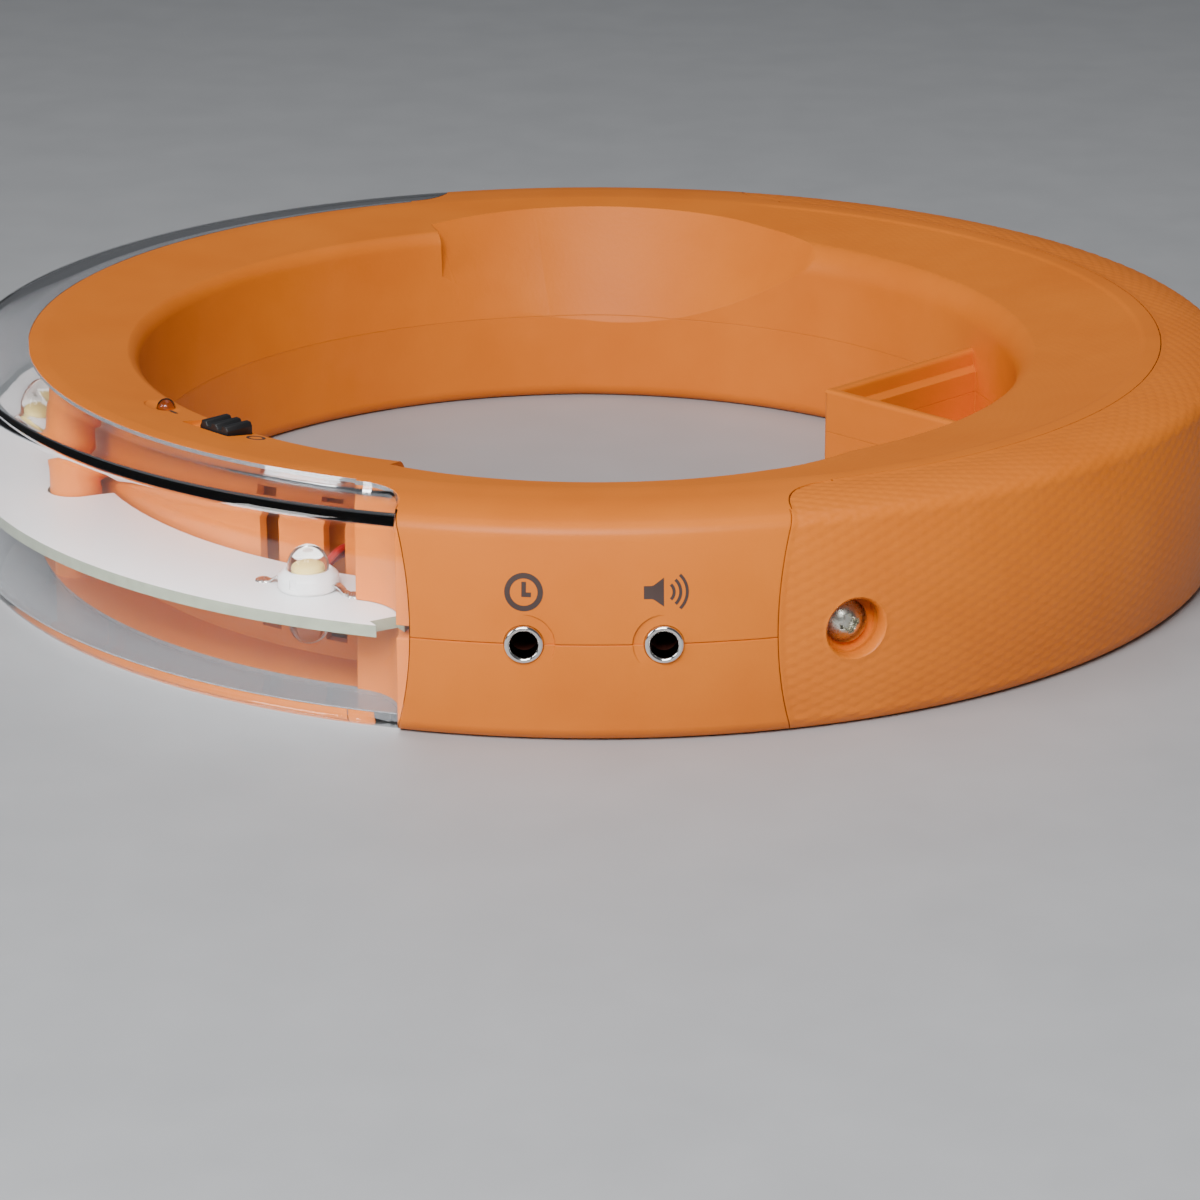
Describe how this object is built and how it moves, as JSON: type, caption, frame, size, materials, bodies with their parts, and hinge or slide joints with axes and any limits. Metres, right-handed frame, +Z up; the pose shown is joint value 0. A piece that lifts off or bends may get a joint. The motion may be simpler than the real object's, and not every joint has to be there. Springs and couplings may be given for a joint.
{
  "type": "electronic signal ring",
  "caption": "Flat orange hand-held ring with a clear lamp window, textured grip, two jack sockets, a slide switch and a start button in a thumb pocket",
  "frame": {"origin": "on the ring's axis, in the plane the device rests on", "axes": "+Z up along the ring's axis, -Y towards the jack sockets, +X towards the grip"},
  "size_m": [0.1919, 0.192, 0.031],
  "materials": {
    "orange_shell": "fine moulded texture",
    "orange_grip": "moulded scale texture",
    "clear_lens": "polished clear polycarbonate",
    "board_white": "white solder mask",
    "board_green": "green solder mask",
    "led_white": "white lamp package",
    "led_dome": "clear dome over phosphor",
    "solder": "tinned",
    "bezel_chrome": "polished nickel",
    "black_plastic": "moulded",
    "screw_steel": "zinc plated",
    "spring_steel": "drawn wire",
    "indicator": "pale tinted lens",
    "cell_jacket": "plain printed sleeve",
    "foam": "closed cell foam",
    "wire_red": "pvc sleeve",
    "wire_grey": "pvc sleeve"
  },
  "bodies": {
    "housing": {"upper_shell": "orange_shell", "lower_shell": "orange_shell", "lamp_lens": "clear_lens", "grip_cover": "orange_grip", "cover_posts": "orange_shell", "cover_screws": "screw_steel", "shell_screws": "screw_steel", "lamp_board": "board_white", "led_packages": "led_white", "led_domes": "led_dome", "led_leads": "solder", "timer_jack_body": "black_plastic", "speaker_jack_body": "black_plastic", "timer_jack_bezel": "bezel_chrome", "speaker_jack_bezel": "bezel_chrome", "jack_pins": "solder", "control_board": "board_green", "board_chips": "black_plastic", "power_switch_body": "black_plastic", "switch_board": "board_green", "indicator_led": "indicator", "button_spring": "spring_steel", "button_switch": "black_plastic", "button_board": "board_green", "pocket_plate": "orange_shell", "battery_1": "cell_jacket", "battery_2": "cell_jacket", "battery_3": "cell_jacket", "battery_tray": "black_plastic", "battery_plates": "spring_steel", "battery_springs": "spring_steel", "sounder": "black_plastic", "sounder_gasket": "foam", "battery_wires": "wire_red", "lamp_wires": "wire_red", "sounder_wires": "wire_grey"},
    "switch_knob": {"power_switch_knob": "black_plastic", "switch_wiper": "spring_steel"},
    "start_button": {"start_button": "black_plastic"}
  },
  "joints": [
    {"name": "power_switch_slide", "type": "slide", "parent": "housing", "child": "switch_knob", "axis": [-0.696, 0.7181, 0], "range_m": [0, 0.003]},
    {"name": "start_button_press", "type": "slide", "parent": "housing", "child": "start_button", "axis": [0, 0, -1], "range_m": [0, 0.0015], "stiffness_N_per_m": 600, "springref_m": -0.001, "deforming": ["button_spring"]}
  ]
}
